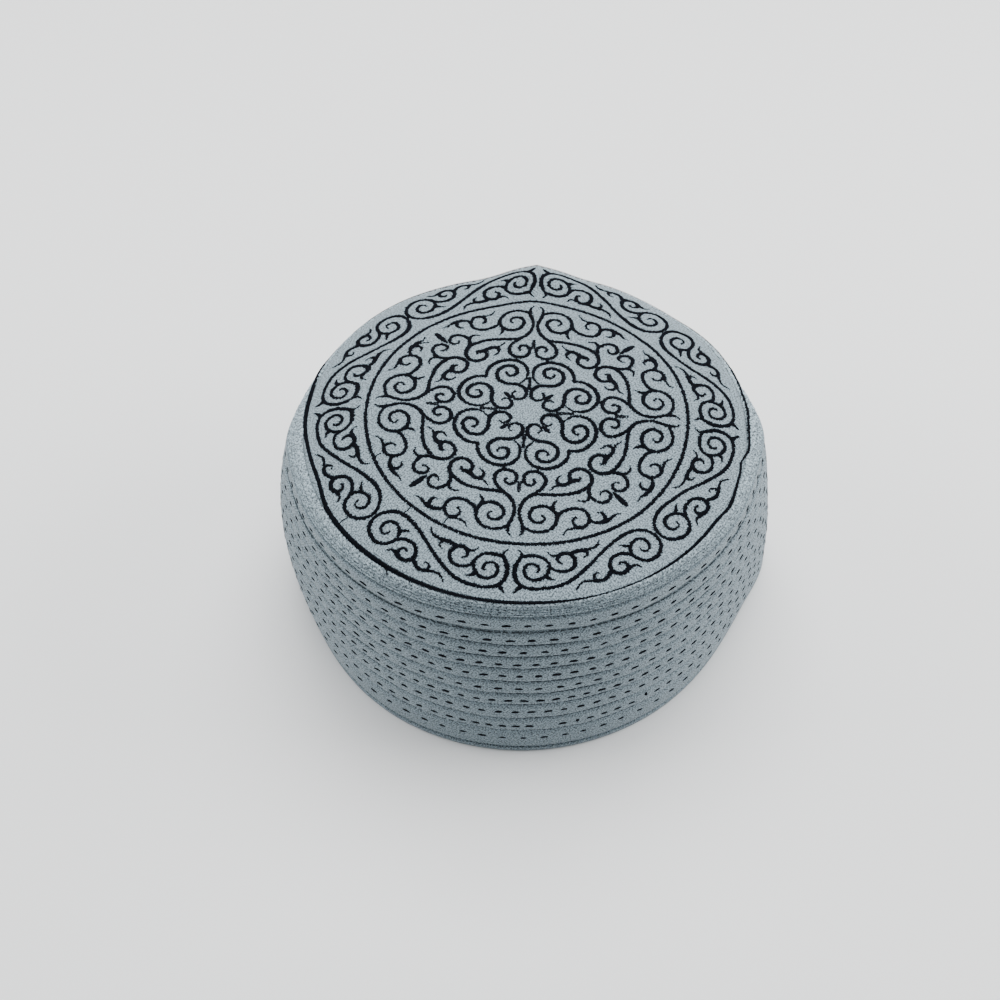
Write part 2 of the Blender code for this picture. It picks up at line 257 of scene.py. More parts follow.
# The border between the two rings, charted the same way
BORDER = (
    ("wave", (0.5, 1.6, 1.4, 1.3, 1.3, 1.3, 1.3, 1.1, 1.2, 1.4, 1.2, 1.2, 1.4, 1.2, 1.2, 1.2, 0.7), (
        (1.8, 64.3), (3.3, 66.4), (2.4, 69.4), (1.5, 72.0), (1.3, 74.6), (1.6, 77.0),
        (2.6, 79.3), (4.2, 81.0), (6.5, 81.9), (9.5, 82.0), (12.5, 81.3), (15.4, 80.4),
        (18.0, 79.1), (20.5, 77.2), (22.6, 74.9), (24.6, 72.3), (26.6, 69.4), (28.6, 66.3),
        (30.5, 63.1), (32.6, 60.0), (35.0, 57.0), (37.4, 54.3), (39.9, 52.1), (42.5, 50.7),
        (45.2, 50.1), (47.9, 50.4), (50.4, 51.6), (52.2, 53.7), (52.9, 56.3), (52.5, 59.0),
        (51.2, 61.4), (49.2, 63.0), (46.8, 63.6), (44.4, 63.0), (42.4, 61.6), (41.5, 59.4),
        (41.7, 57.1), (42.9, 55.1), (44.9, 54.1), (46.9, 54.5), (48.3, 55.9), (48.5, 57.7),
        (47.5, 59.2), (46.1, 59.4), (44.9, 58.4))),
    ("axis_spur", (1.8, 1.2, 0.5), ((4.2, 81.3), (3.0, 82.6), (1.8, 84.6))),
    ("axis_curl", (1.5, 1.5, 1.2, 1.1, 1.2, 1.4, 1.3, 1.2, 1.1, 1.2, 0.9), (
        (3.2, 67.6), (5.4, 66.9), (7.6, 66.5), (9.8, 66.8), (11.8, 68.0), (13.1, 70.0),
        (13.3, 72.4), (12.7, 74.8), (11.4, 76.8), (9.6, 77.9), (7.6, 78.0), (5.8, 76.9),
        (4.8, 75.0), (4.7, 72.9), (5.6, 71.2), (7.3, 70.5), (9.0, 71.2), (9.9, 72.7),
        (9.4, 74.4))),
    ("axis_leaf", (1.8, 1.2, 0.4), ((12.5, 75.6), (13.9, 76.6), (16.0, 76.9))),
    ("inner_curl", (1.5, 1.2, 1.2, 1.3, 1.3, 1.7, 1.5, 1.2, 0.8), (
        (13.0, 70.2), (14.2, 71.8), (15.8, 72.6), (17.8, 72.7), (19.8, 72.1), (21.4, 70.8),
        (22.2, 68.9), (22.1, 66.8), (21.3, 65.0), (19.7, 63.9), (17.9, 63.9), (16.5, 65.0),
        (15.9, 66.6), (16.2, 68.2), (17.8, 68.9))),
    ("inner_leaf", (1.2, 0.9, 0.4), ((16.4, 65.0), (14.8, 65.7), (13.3, 65.5), (12.2, 64.0))),
    ("inner_hook", (1.4, 1.5, 1.4, 0.9, 0.4), (
        (20.4, 63.8), (22.2, 62.5), (24.2, 61.8), (25.8, 62.2), (26.3, 63.6), (25.0, 65.2))),
    ("inner_tail", (1.4, 1.1, 0.9, 0.4), (
        (24.0, 61.7), (26.4, 61.0), (28.3, 60.0), (29.7, 58.4), (29.9, 56.2))),
    ("diagonal_spur", (1.5, 1.1, 0.4), ((41.8, 57.9), (40.0, 58.1), (37.2, 58.1))),
    ("outer_curl", (1.3, 1.3, 1.3, 1.3, 1.5, 1.6, 1.4, 1.2, 0.8), (
        (42.8, 62.0), (40.6, 61.5), (38.4, 61.7), (36.3, 62.8), (34.9, 64.6), (34.6, 66.8),
        (35.0, 68.9), (36.4, 70.3), (38.4, 70.6), (40.2, 69.7), (41.2, 68.0), (41.0, 66.4),
        (39.9, 65.4), (38.5, 65.5), (37.8, 66.7))),
    ("outer_leaf", (1.6, 1.4, 0.9, 0.4), ((40.6, 69.3), (41.9, 67.4), (43.6, 66.0), (46.0, 66.6))),
    ("outer_hook", (1.6, 1.3, 1.4, 1.2, 0.9, 0.6), (
        (35.2, 70.2), (34.4, 72.2), (33.2, 74.0), (31.4, 74.8), (29.8, 74.5), (29.4, 73.0),
        (29.9, 71.5), (31.3, 71.4))),
    ("outer_tail", (1.3, 1.0, 0.8, 0.4), (
        (31.0, 74.9), (28.6, 75.2), (26.3, 75.9), (24.9, 77.3), (23.8, 80.2))),
)

# Satin stitching: the spacing of its threads, how high they stand and how ragged they end
THREAD_SPACING = 0.00034
THREAD_WIDTH = 0.00050
THREAD_RISE = 0.00042
THREAD_SINK = 0.00012
THREAD_RAGGED = 0.00015
THREAD_SLANT = 0.18

# Loose threads that jump between motifs: start and end on the chart, not repeated
JUMPS = (
    ((-63.9, -55.4), (-60.7, -52.9)),
    ((-38.2, -47.0), (-40.3, -51.0)),
    ((-25.5, -54.6), (-22.6, -50.7)),
    ((-47.3, 31.5), (-41.4, 34.3)),
    ((-55.2, -28.2), (-52.3, -25.0)),
    ((-44.7, -73.0), (-43.5, -75.9)),
)

# How finely the cloth is divided
SEGMENTS = 600
CROWN_LEVELS = 72
# Places up one tuck, from the groove below it to the groove above it
TUCK_STEPS = (0, 0.02, 0.05, 0.09, 0.15, 0.24, 0.36, 0.5, 0.64, 0.77, 0.87, 0.94, 0.98)

# Depths and reaches of the sewing, then the band's edges, the cloth's pattern and the camera
TUCK_DEPTH = 0.0012
GROOVE_WIDTH = 0.055
HOLLOW_WIDTH = 0.17
WALL_UNEVEN = 0.0002
PULL_DEPTH = 0.0003
PULL_REACH = 0.03
HEM_SHARE = (HEM_HEIGHT + SEAM_GAP) / (EDGE_HEIGHT - SHOULDER_DROP)

BAND_LOW = WALL_TOP_SHARE + 0.03
BAND_HIGH = 1.985

FIBRE_SCALE = 1.65
FIBRE_CONTRAST = 0.62
STRAND_SCALE = 1300
TWILL_SCALE = 0.36

CAMERA_ELEVATION = 52.3
CAMERA_DISTANCE = 0.529
CAMERA_TARGET = (-0.0091, 0.0, 0.0401)
CAMERA_LENS = 48.4

CLOTH_COLOUR = (0.178, 0.228, 0.258)
# Painted light: the band's cloth is the cloth colour made lighter, standing in for the light on the
# band over the shoulder
BAND_COLOUR_PAINTED_LIGHT = (0.215, 0.272, 0.305)


def cyclic_blend(rows, angles, column):
    """Smooth value of a table's column at angles in degrees, around the full circle."""
    knots = np.array([row[0] for row in rows], dtype=float)
    values = np.array([row[column] for row in rows])
    angles = knots[0] + (np.asarray(angles, dtype=float) - knots[0]) % 360
    index = np.searchsorted(knots, angles, side="right") - 1

    def knot(offset):
        turns, i = np.divmod(index + offset, len(knots))
        return knots[i] + 360 * turns, values[i]

    (a0, v0), (a1, v1), (a2, v2), (a3, v3) = (knot(k) for k in (-1, 0, 1, 2))
    span = a2 - a1
    t = (angles - a1) / span
    slope1 = (v2 - v0) / (a2 - a0) * span
    slope2 = (v3 - v1) / (a3 - a1) * span
    start = (2 * t - 3) * t * t + 1
    return start * v1 + (1 - start) * v2 + t * (t - 1) ** 2 * slope1 + t * t * (t - 1) * slope2


def edge_at(angles):
    """Height of the crown's edge, with the pointed fold at the back."""
    away = np.abs((np.asarray(angles, float) - FOLD_ANGLE + 180) % 360 - 180)
    fold = FOLD_RISE * (np.exp(-away / 5) - 0.45 * np.exp(-((away - 13) / 6) ** 2))
    return EDGE_HEIGHT * cyclic_blend(OUTLINE_SHARES, angles, 4) + fold


def outline(angles):
    """Foot, waist and shoulder radius, shoulder height and edge height at angles."""
    foot = (PANEL_RADIUS + FOOT_FLARE) * cyclic_blend(OUTLINE_SHARES, angles, 1)
    waist = (PANEL_RADIUS + WAIST_FLARE) * cyclic_blend(OUTLINE_SHARES, angles, 2)
    shoulder = (PANEL_RADIUS + SHOULDER_FLARE) * cyclic_blend(OUTLINE_SHARES, angles, 3)
    edge_height = edge_at(angles)
    shoulder_height = edge_height - SHOULDER_DROP * cyclic_blend(OUTLINE_SHARES, angles, 5)
    return foot, waist, shoulder, shoulder_height, edge_height


def skin_point(angles, shares):
    """Radius and height of the outer cloth: share 0 foot, 1 shoulder, 2 crown edge."""
    foot, waist, shoulder, shoulder_height, edge_height = outline(angles)
    low = np.minimum(shares, 1)
    side_radius = ((1 - low) * (1 - 2 * low) * foot + 4 * low * (1 - low) * waist
                   + low * (2 * low - 1) * shoulder)
    t = np.maximum(shares - 1, 0)
    bend_radius = shoulder - BEND_INWARD_SHARE * (shoulder - PANEL_RADIUS)
    bend_height = shoulder_height + BEND_UPWARD_SHARE * (edge_height - shoulder_height)
    top_radius = (1 - t) ** 2 * shoulder + 2 * t * (1 - t) * bend_radius + t * t * PANEL_RADIUS
    top_height = (1 - t) ** 2 * shoulder_height + 2 * t * (1 - t) * bend_height + t * t * edge_height
    over = shares > 1
    return (np.where(over, top_radius, side_radius),
            np.where(over, top_height, low * shoulder_height))


def skin_direction(angles, shares):
    """Unit direction along the outer cloth, upwards, in the radius and height plane."""
    step = 0.004
    low = skin_point(angles, np.maximum(shares - step, 0))
    high = skin_point(angles, np.minimum(shares + step, 2))
    out, up = high[0] - low[0], high[1] - low[1]
    length = np.hypot(out, up)
    return out / length, up / length


def place(angles, radius, height):
    """Coordinates of radii and heights at angles in degrees, before the cap is centred."""
    turn = np.radians(angles)
    return np.stack([radius * np.cos(turn), radius * np.sin(turn), height + 0 * radius], axis=-1)


def on_skin(angles, shares, stand=0.0):
    """Points on the outer cloth, standing out from it by a distance along its normal."""
    angles, shares = np.broadcast_arrays(np.asarray(angles, float), np.asarray(shares, float))
    radius, height = skin_point(angles, shares)
    out, up = skin_direction(angles, shares)
    return place(angles, radius + stand * up, height - stand * out)


def ripple(x, y, reach):
    """Gentle irregular unevenness between -1 and 1, about a reach wide."""
    u, v = x / reach, y / reach
    return (np.sin(5.1 * u + 1.3 * np.sin(3.7 * v)) + np.sin(4.3 * v + 1.1 + 1.7 * np.sin(2.9 * u))
            + np.sin(3.1 * (u + v) + 0.4)) / 3


def crown_height(x, y):
    """Height of the crown's upper side at places on it, before the cap is centred."""
    share = np.hypot(x, y) / PANEL_RADIUS
    angles = np.degrees(np.arctan2(y, x))
    edge_height = edge_at(angles)
    rise = EDGE_HEIGHT + CROWN_RISE - edge_height
    dome = edge_height + rise * (1 - share ** CROWN_POWER)
    inside = np.minimum(share, 1)
    wave = 5.38 * inside ** 1.5 * (1 - inside) * cyclic_blend(CROWN_WAVES, angles, 1)
    rim = np.exp(-((inside - 0.93) / 0.12) ** 2) * (1 - inside ** 24)
    wave = wave + rim * cyclic_blend(CROWN_WAVES, angles, 3)
    to_edge = (1 - share) * PANEL_RADIUS / EDGE_ROLL_WIDTH
    roll = np.exp(-to_edge ** 2) * cyclic_blend(CROWN_WAVES, angles, 2)
    uneven = CROWN_UNEVEN * ripple(x, y, 0.05) + CROWN_PUCKER * ripple(y, x, 0.011)
    return dome + wave - roll + uneven


def crown_normal(x, y):
    """Unit normal of the crown's upper side."""
    step = 0.0005
    across = (crown_height(x + step, y) - crown_height(x - step, y)) / (2 * step)
    along = (crown_height(x, y + step) - crown_height(x, y - step)) / (2 * step)
    normal = np.stack([-across, -along, np.ones_like(across)], axis=-1)
    return normal / np.linalg.norm(normal, axis=-1, keepdims=True)


def floor_middle(low, high):
    """Middle of a box across the floor."""
    return np.array([(low[0] + high[0]) / 2, (low[1] + high[1]) / 2, 0.0])


def cap_shift():
    """Move from the outline's own middle to the middle of the cap's box."""
    angles = np.arange(0, 360, 0.5)
    shares = np.linspace(0, WALL_TOP_SHARE, 60)[:, None]
    points = on_skin(angles[None, :], shares)
    outline_middle = floor_middle(points.min(axis=(0, 1)), points.max(axis=(0, 1)))
    return floor_middle(*cad_box) - outline_middle


SHIFT = cap_shift()


def new_piece(name, points, faces):
    """Object from an array of points, moved into the cap's place, and lists of face corners."""
    mesh = bpy.data.meshes.new(name)
    mesh.from_pydata((points + SHIFT).tolist(), [], faces)
    mesh.shade_smooth()
    mesh.update()
    piece = bpy.data.objects.new(name, mesh)
    bpy.context.scene.collection.objects.link(piece)
    return piece


def loop_faces(levels, count, closed):
    """Faces between rings of points, level after level, closed from the last if asked."""
    rings = np.arange(levels if closed else levels - 1)
    i, j = np.meshgrid(rings, np.arange(count), indexing="ij")
    up, side = (i + 1) % levels, (j + 1) % count
    corners = [i * count + j, i * count + side, up * count + side, up * count + j]
    return np.stack([c.ravel() for c in corners], axis=-1).tolist()


def set_uv(piece, uv_of_point, around=None):
    """Cloth coordinates in millimetres for each face corner, unbroken where a ring closes."""
    layer = piece.data.uv_layers.new(name="cloth")
    corners = np.empty(len(piece.data.loops), dtype=np.int32)
    piece.data.loops.foreach_get("vertex_index", corners)
    uv = uv_of_point[corners]
    if around:
        quads = uv.reshape(-1, 4, 2)
        wraps = quads[:, :, 0].max(axis=1) - quads[:, :, 0].min(axis=1) > around / 2
        low = quads[:, :, 0] < around / 2
        quads[:, :, 0] += around * (wraps[:, None] & low)
    layer.data.foreach_set("uv", uv.astype(np.float32).ravel())


def swept_piece(name, sections):
    """Closed ring from a stack of rings of points, with its cloth coordinates."""
    levels, count = sections.shape[:2]
    faces = loop_faces(levels, count, closed=True)
    piece = new_piece(name, sections.reshape(-1, 3), faces)
    around = 2 * math.pi * PANEL_RADIUS * 1000
    turns = np.arange(count) / count * around
    steps = np.linalg.norm(np.diff(sections, axis=0), axis=2).mean(axis=1)
    lengths = np.concatenate([[0], np.cumsum(steps)]) * 1000
    uv = np.stack(np.broadcast_arrays(turns[None, :], lengths[:, None]), axis=-1)
    set_uv(piece, uv.reshape(-1, 2), around)
    return piece


def segment_angles():
    """Angle of each division around the cap, from the back."""
    return 90 + 360 * np.arange(SEGMENTS) / SEGMENTS


def groove_share(number, angles):
    """Share of a groove around the cap, with the slight wander of hand sewing."""
    share = (HEM_SHARE, *GROOVE_SHARES, WALL_TOP_SHARE)[number]
    turn = np.radians(angles)
    wander = (np.sin(3 * turn + 1.7 * number) + 0.7 * np.sin(8 * turn + 2.9 * number)
              + 0.45 * np.sin(29 * turn + 4.1 * number))
    sewn = 0 < number <= len(GROOVE_SHARES)
    return share + (0.0020 * wander if sewn else 0 * turn)


def tuck_relief(t):
    """Depth of the cloth below its tuck's crest, from the groove below to the one above."""
    under_fold = np.exp(-(t / GROOVE_WIDTH) ** 2)
    tucked_in = np.exp(-((1 - t) / HOLLOW_WIDTH) ** 2)
    return TUCK_DEPTH * np.maximum(under_fold, tucked_in)


def level_row(share):
    """A row that stays at one share of the outline."""
    def share_of(angles):
        return share + 0 * angles
    return share_of


def row_run(share_of):
    """Distance along a row around the cap from its front, and the angles it is at."""
    angles = np.arange(-90, 270.1, 0.25)
    points = on_skin(angles, share_of(angles))
    steps = np.linalg.norm(np.diff(points, axis=0), axis=1)
    return np.concatenate([[0], np.cumsum(steps)]), angles


def stitch_pull(angles, shares):
    """How strongly the running stitches pull in the cloth at places on the wall, 0 to 1."""
    front = (angles + 90) % 360 - 90
    turn = np.where(front > 90, front - 360, front)
    pull = np.zeros(np.broadcast(angles, shares).shape)
    for share, spacing, shift, first, last in STITCH_ROWS:
        run, at = row_run(level_row(share))
        along = np.interp(front, at, run)
        along = np.where(along > run[-1] / 2, along - run[-1], along)
        phase = 2 * math.pi * (along - shift) / spacing
        sewn = (turn >= first) & (turn <= last)
        near = np.exp(-((shares - share) / PULL_REACH) ** 2)
        pull = pull + sewn * near * (0.5 + 0.5 * np.cos(phase)) ** 2
    return pull


def wall_uneven(angles, shares):
    """Slow unevenness of the worn wall, outwards."""
    turn = np.radians(angles)
    fade = np.sin(math.pi * np.clip(shares / WALL_TOP_SHARE, 0, 1))
    return WALL_UNEVEN * fade * (np.sin(7 * turn + 4 * shares) + 0.6 * np.sin(19 * turn + 9 * shares))


def wall_stand(angles, shares):
    """How far the wall's cloth stands out from the plain outline at places on it."""
    relief = np.zeros(np.broadcast(angles, shares).shape)
    for number in range(len(GROOVE_SHARES) + 1):
        low, high = groove_share(number, angles), groove_share(number + 1, angles)
        t = (shares - low) / (high - low)
        relief = np.where((t >= 0) & (t <= 1), tuck_relief(np.clip(t, 0, 1)), relief)
    return wall_uneven(angles, shares) - relief - PULL_DEPTH * stitch_pull(angles, shares)


def make_wall():
    """The side wall: ten sewn tucks outside and a smooth inner face."""
    angles = segment_angles()[None, :]
    levels = []
    for number in range(len(GROOVE_SHARES) + 1):
        low, high = groove_share(number, angles), groove_share(number + 1, angles)
        levels.extend(low + step * (high - low) for step in TUCK_STEPS)
    levels.append(groove_share(len(GROOVE_SHARES) + 1, angles))
    shares = np.concatenate(levels)
    outer = on_skin(angles, shares, wall_stand(angles, shares))
    inner_shares = np.linspace(WALL_TOP_SHARE, HEM_SHARE, 24)[:, None] + 0 * angles
    inner = on_skin(angles, inner_shares, -WALL_THICKNESS)
    return swept_piece("wall_cloth", np.concatenate([outer, inner]))


def band_share(t):
    """Share of the outline at a share of the way up the band."""
    return WALL_TOP_SHARE + t * (2 - WALL_TOP_SHARE)


def band_stand(t):
    """How far the band's cloth stands out, at shares of the way up it."""
    roll = np.sin(math.pi * np.clip(t, 0, 1)) ** 0.4
    lines = sum(depth * np.exp(-((t - share) / 0.022) ** 2) for share, depth in BAND_LINES)
    return -0.0006 + 0.0006 * roll - lines


def make_band():
    """The sewn band over the shoulder."""
    angles = segment_angles()[None, :]
    shares = np.linspace(BAND_LOW, BAND_HIGH, 72)[:, None] + 0 * angles
    t = (shares - WALL_TOP_SHARE) / (2 - WALL_TOP_SHARE)
    outer = on_skin(angles, shares, band_stand(t))
    inner_shares = np.linspace(BAND_HIGH, BAND_LOW, 8)[:, None] + 0 * angles
    inner = on_skin(angles, inner_shares, -BAND_THICKNESS)
    return swept_piece("band_cloth", np.concatenate([outer, inner]))


def make_hem():
    """The thin folded hem that the cap stands on."""
    angles = segment_angles()
    foot = skin_point(angles, np.zeros_like(angles))[0]
    steps = np.linspace(0, 2 * math.pi, 17)[:-1]
    middle = foot - HEM_THICKNESS / 2
    across, up = HEM_THICKNESS / 2, HEM_HEIGHT / 2
    rings = []
    for step in steps:
        side = np.sign(math.cos(step)) * abs(math.cos(step)) ** 0.5
        rise = np.sign(math.sin(step)) * abs(math.sin(step)) ** 0.5
        rings.append(place(angles, middle + across * side, up + up * rise))
    return swept_piece("hem_cloth", np.array(rings))


def make_crown():
    """The crown: its domed upper side, a rolled edge and its underside."""
    angles = segment_angles()
    radii = (PANEL_RADIUS - SEAM_GAP) * np.linspace(1, 0, CROWN_LEVELS + 1)[:-1] ** 0.8
    turn = np.radians(angles)[None, :]
    x, y = radii[:, None] * np.cos(turn), radii[:, None] * np.sin(turn)
    top = np.stack([x, y, crown_height(x, y)], axis=-1)
    top[0, :, 2] -= 0.0005
    under_radii = radii[::-1][::6]
    under_radii[-1] = radii[0]
    x, y = under_radii[:, None] * np.cos(turn), under_radii[:, None] * np.sin(turn)
    under = np.stack([x, y, crown_height(x, y) - CROWN_THICKNESS], axis=-1)
    rings = np.concatenate([under, top])
    levels, count = rings.shape[:2]
    faces = loop_faces(levels, count, closed=False)
    faces.append(list(range(count))[::-1])
    faces.append(list(range((levels - 1) * count, levels * count)))
    points = rings.reshape(-1, 3)
    piece = new_piece("crown_cloth", points, faces)
    set_uv(piece, points[:, :2] * 1000)
    return piece


def smooth_path(points, spacing):
    """Evenly spaced places along a smooth curve through points, with its directions."""
    knots = np.array(points, dtype=float)
    before = 2 * knots[0] - knots[1]
    after = 2 * knots[-1] - knots[-2]
    p = np.vstack([before, knots, after])
    t = np.linspace(0, 1, 24, endpoint=False)[:, None]
    pieces = []
    for a, b, c, d in zip(p[:-3], p[1:-2], p[2:-1], p[3:]):
        pieces.append(0.5 * (2 * b + (c - a) * t + (2 * a - 5 * b + 4 * c - d) * t ** 2
                             + (3 * b - a - 3 * c + d) * t ** 3))
    curve = np.vstack([*pieces, knots[-1:]])
    return even_steps(curve, spacing)


def even_steps(curve, spacing):
    """A line of places cut into even steps, with the direction at each."""
    run = np.concatenate([[0], np.cumsum(np.linalg.norm(np.diff(curve, axis=0), axis=1))])
    count = max(int(round(run[-1] / spacing)), 2)
    steps = np.linspace(0, run[-1], count + 1)
    places = np.stack([np.interp(steps, run, curve[:, k]) for k in (0, 1)], axis=-1)
    directions = np.gradient(places, axis=0)
    return places, directions / np.linalg.norm(directions, axis=1, keepdims=True)


def draw_in(places):
    """Draw the border, which the chart shows too wide near the axes, in to its ring."""
    radius = np.linalg.norm(places, axis=1)
    around = np.arctan2(places[:, 0], places[:, 1])
    toward_diagonal = np.sin(2 * around) ** 2
    charted = CHART_OUTER_AXIS + (CHART_OUTER_DIAGONAL - CHART_OUTER_AXIS) * toward_diagonal
    true_outer = CHART_INNER * OUTER_RING_RADIUS / INNER_RING_RADIUS
    share = np.maximum(radius - CHART_INNER, 0) / (charted - CHART_INNER)
    fitted = np.minimum(radius, CHART_INNER) + share * (true_outer - CHART_INNER)
    return places * (fitted / radius)[:, None]


def eighths():
    """The eight turned and mirrored copies of the chart, as two by two matrices."""
    copies = []
    for quarter in range(4):
        turn = math.radians(90 * quarter + PATTERN_TURN)
        turned = np.array([[math.cos(turn), -math.sin(turn)], [math.sin(turn), math.cos(turn)]])
        copies.append(turned)
        copies.append(turned @ np.diag([-1.0, 1.0]))
    return copies


def to_crown(places, copy):
    """Places on the crown of places on the chart, in one of its turned copies."""
    scale = INNER_RING_RADIUS / CHART_INNER
    return places @ copy.T * scale + np.array(PATTERN_SHIFT)


def wander(places):
    """Move places past the inner ring to where the worn border sits."""
    radius = np.linalg.norm(places, axis=1)
    angles = np.degrees(np.arctan2(places[:, 1], places[:, 0]))
    share = np.clip((radius - INNER_RING_RADIUS - 0.001) / 0.007, 0, 1)
    weight = share * share * (3 - 2 * share)
    out = places / radius[:, None]
    side = np.stack([-out[:, 1], out[:, 0]], axis=-1)
    outwards = weight * cyclic_blend(BORDER_WANDER, angles, 1)
    around = weight * cyclic_blend(BORDER_WANDER, angles, 2)
    reach = np.minimum(radius + outwards, PANEL_RADIUS - 0.0004)
    return out * reach[:, None] + side * around[:, None]


def chart_stitches(strokes, fit, spread, dice):
    """Ends of every satin stitch of some strokes, in all eight copies, across the crown."""
    scale = INNER_RING_RADIUS / CHART_INNER
    starts, ends = [], []
    for copy in eighths():
        for _, widths, points in strokes:
            places, directions = smooth_path(points, THREAD_SPACING / scale)
            wide = np.interp(np.linspace(0, 1, len(places)), np.linspace(0, 1, len(widths)), widths)
            across = np.stack([-directions[:, 1], directions[:, 0]], axis=-1)
            across = across + THREAD_SLANT * directions
            ragged = dice.normal(0, THREAD_RAGGED / scale, (2, len(places)))
            left = places + across * (spread * wide / 2 + ragged[0])[:, None]
            right = places - across * (spread * wide / 2 + ragged[1])[:, None]
            starts.append(wander(to_crown(fit(left), copy)))
            ends.append(wander(to_crown(fit(right), copy)))
    return np.vstack(starts), np.vstack(ends)


def inner_ring_stitches(dice):
    """Ends of the satin stitches of the inner ring."""
    count = int(2 * math.pi * INNER_RING_RADIUS / THREAD_SPACING)
    turn = np.linspace(0, 2 * math.pi, count, endpoint=False)
    out = np.stack([np.cos(turn), np.sin(turn)], axis=-1)
    along = np.stack([-out[:, 1], out[:, 0]], axis=-1)
    half = INNER_RING_WIDTH / 2
    ragged = dice.normal(0, THREAD_RAGGED, (2, count, 1))
    slant = THREAD_SLANT * half * along
    middle = np.array(PATTERN_SHIFT)
    inner = middle + out * (INNER_RING_RADIUS - half + ragged[0]) - slant
    return inner, middle + out * (INNER_RING_RADIUS + half + ragged[1]) + slant


def cap_top(radius, angles):
    """Points and normals on the crown, or past its edge on the band, at radii and angles."""
    turn = np.radians(angles)
    x, y = radius * np.cos(turn), radius * np.sin(turn)
    crown = np.stack([x, y, crown_height(x, y)], axis=-1)
    over = np.clip((radius - PANEL_RADIUS) / 0.0010, 0, 3)
    shares = BAND_HIGH - 0.13 * over
    t = (shares - WALL_TOP_SHARE) / (2 - WALL_TOP_SHARE)
    band = on_skin(angles, shares, band_stand(t))
    out, up = skin_direction(angles, shares)
    on_band = (radius > PANEL_RADIUS - 0.0002)[:, None]
    normals = np.where(on_band, place(angles, up, -out), crown_normal(x, y))
    return np.where(on_band, band, crown), normals


def make_outer_ring(dice):
    """The outer ring, which wanders along the crown's edge."""
    count = int(2 * math.pi * OUTER_RING_RADIUS / THREAD_SPACING)
    angles = -90 + 360 * np.arange(count) / count
    radius = cyclic_blend(OUTER_RING_PATH, angles, 1)
    half = cyclic_blend(OUTER_RING_PATH, angles, 2) / 2
    ragged = dice.normal(0, 0.5 * THREAD_RAGGED, (2, count))
    slant = np.degrees(THREAD_SLANT * half / radius)
    low, low_normals = cap_top(radius - half + ragged[0], angles - slant)
    high, high_normals = cap_top(radius + half + ragged[1], angles + slant)
    normals = low_normals + high_normals
    normals /= np.linalg.norm(normals, axis=1, keepdims=True)
    near = np.clip((radius - PANEL_RADIUS) / 0.0008 + 0.6, 0, 1)
    rise = THREAD_RISE + RING_ABOVE_BAND * near
    return thread_mesh("outer_ring_thread", low, high, normals, THREAD_WIDTH, rise)


def thread_mesh(name, starts, ends, normals, width, rise, pointed=False):
    """Arched threads, each from a start to an end, with its ends sunk in the cloth."""
    count = len(starts)
    t = np.array((0, 0.2, 0.5, 0.8, 1)) if pointed else np.array((0, 0.1, 0.5, 0.9, 1))
    arch = np.array((0, 0.7, 1, 0.7, 0))
    taper = np.array((0.4, 0.9, 1, 0.9, 0.4)) if pointed else np.array((0.75, 0.9, 1, 0.9, 0.75))
    along = ends - starts
    side = np.cross(normals, along)
    side /= np.maximum(np.linalg.norm(side, axis=1, keepdims=True), 1e-12)
    width = np.broadcast_to(np.asarray(width, float), (count,))
    rise = np.broadcast_to(np.asarray(rise, float), (count,))
    across, high = np.array((-0.5, 0.0, 0.5)), np.array((0.0, 1.0, 0.0))
    middle = starts[:, None, None] + along[:, None, None] * t[None, :, None, None]
    spread = across[None, None, :] * taper[None, :, None] * width[:, None, None]
    lift = (rise[:, None, None] + THREAD_SINK) * arch[None, :, None] * high[None, None, :] - THREAD_SINK
    points = middle + side[:, None, None] * spread[..., None] + normals[:, None, None] * lift[..., None]
    per = len(t) * 3
    i, j = np.meshgrid(np.arange(len(t) - 1), np.arange(2), indexing="ij")
    corners = [i * 3 + j, (i + 1) * 3 + j, (i + 1) * 3 + j + 1, i * 3 + j + 1]
    quad = np.stack([c.ravel() for c in corners], axis=-1)
    faces = (quad[None] + per * np.arange(count)[:, None, None]).reshape(-1, 4)
    return new_piece(name, points.reshape(-1, 3), faces.tolist())


def sew_on_crown(name, starts, ends):
    """Satin stitches laid over the crown between places on it."""
    low = np.column_stack([starts, crown_height(starts[:, 0], starts[:, 1])])
    high = np.column_stack([ends, crown_height(ends[:, 0], ends[:, 1])])
    middle = (starts + ends) / 2
    normals = crown_normal(middle[:, 0], middle[:, 1])
    wide = np.linalg.norm(ends - starts, axis=1)
    rise = THREAD_RISE * np.clip(wide / 0.0013, 0.7, 1.15)
    return thread_mesh(name, low, high, normals, THREAD_WIDTH, rise)


def make_jumps():
    """The few loose threads between motifs."""
    starts, ends = [], []
    for start, end in JUMPS:
        line = np.linspace(0, 1, 6)[:, None]
        bow = np.array([start[1] - end[1], end[0] - start[0]]) * 0.12
        places = np.array(start) * (1 - line) + np.array(end) * line + bow * np.sin(math.pi * line)
        places = to_crown(places, eighths()[0])
        starts.append(places[:-1])
        ends.append(places[1:])
    starts, ends = np.vstack(starts), np.vstack(ends)
    low = np.column_stack([starts, crown_height(starts[:, 0], starts[:, 1]) + THREAD_SINK])
    high = np.column_stack([ends, crown_height(ends[:, 0], ends[:, 1]) + THREAD_SINK])
    normals = crown_normal(starts[:, 0], starts[:, 1])
    return thread_mesh("loose_threads", low, high, normals, 0.0005, 0.0003)


def make_embroidery(dice):
    """The crown's scrollwork, its border and the two rings, as raised satin stitching."""
    def as_charted(places):
        return places

    return [
        sew_on_crown("scroll_thread", *chart_stitches(SCROLLS, as_charted, SPREAD, dice)),
        sew_on_crown("border_thread", *chart_stitches(BORDER, draw_in, BORDER_SPREAD, dice)),
        sew_on_crown("inner_ring_thread", *inner_ring_stitches(dice)),
        make_outer_ring(dice),
        make_jumps(),
    ]


